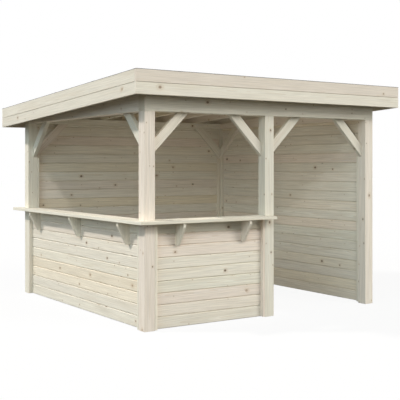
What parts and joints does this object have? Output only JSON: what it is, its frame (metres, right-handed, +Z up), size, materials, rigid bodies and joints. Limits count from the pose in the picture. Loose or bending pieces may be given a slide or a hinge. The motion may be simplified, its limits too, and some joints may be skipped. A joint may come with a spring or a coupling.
{
  "type": "garden bar pavilion",
  "caption": "Square timber garden pavilion with a flat roof, two boarded walls, an open doorway and an L-shaped serving counter over half-height panels.",
  "frame": {"origin": "on the ground, under the middle of the roof", "axes": "+Z up, -Y out of the front with the doorway, -X out of the long serving side"},
  "size_m": [3.414, 3.444, 2.4686],
  "materials": {
    "frame_timber": "planed",
    "brace_timber": "planed",
    "deck_timber": "planed",
    "fascia_timber": "planed",
    "counter_timber": "planed",
    "trim_timber": "planed",
    "wall_timber": "planed",
    "roof_felt": "matte"
  },
  "bodies": {
    "root": {"post_front_left": "frame_timber", "post_front_middle": "frame_timber", "post_front_right": "frame_timber", "post_rear_left": "frame_timber", "post_rear_right": "frame_timber", "beam_front": "frame_timber", "beam_rear": "frame_timber", "beam_left": "frame_timber", "beam_right": "frame_timber", "brace_front_1": "brace_timber", "brace_front_2": "brace_timber", "brace_front_3": "brace_timber", "brace_front_4": "brace_timber", "brace_left_1": "brace_timber", "brace_left_2": "brace_timber", "brace_rear_1": "brace_timber", "brace_rear_2": "brace_timber", "brace_right_1": "brace_timber", "brace_right_2": "brace_timber", "rear_wall": "wall_timber", "right_wall": "wall_timber", "left_bar_panel": "wall_timber", "front_bar_panel": "wall_timber", "rear_wall_battens": "trim_timber", "right_wall_battens": "trim_timber", "left_panel_battens": "trim_timber", "front_panel_battens": "trim_timber", "counter_left_outer": "counter_timber", "counter_left_inner": "counter_timber", "counter_front_outer": "counter_timber", "counter_front_inner": "counter_timber", "left_brackets": "trim_timber", "front_brackets": "trim_timber", "rafters": "frame_timber", "roof_deck": "deck_timber", "roof_felt": "roof_felt", "fascia_front_upper": "fascia_timber", "fascia_front_lower": "fascia_timber", "fascia_rear_upper": "fascia_timber", "fascia_rear_lower": "fascia_timber", "fascia_left_upper": "fascia_timber", "fascia_left_lower": "fascia_timber", "fascia_right_upper": "fascia_timber", "fascia_right_lower": "fascia_timber"}
  },
  "joints": []
}
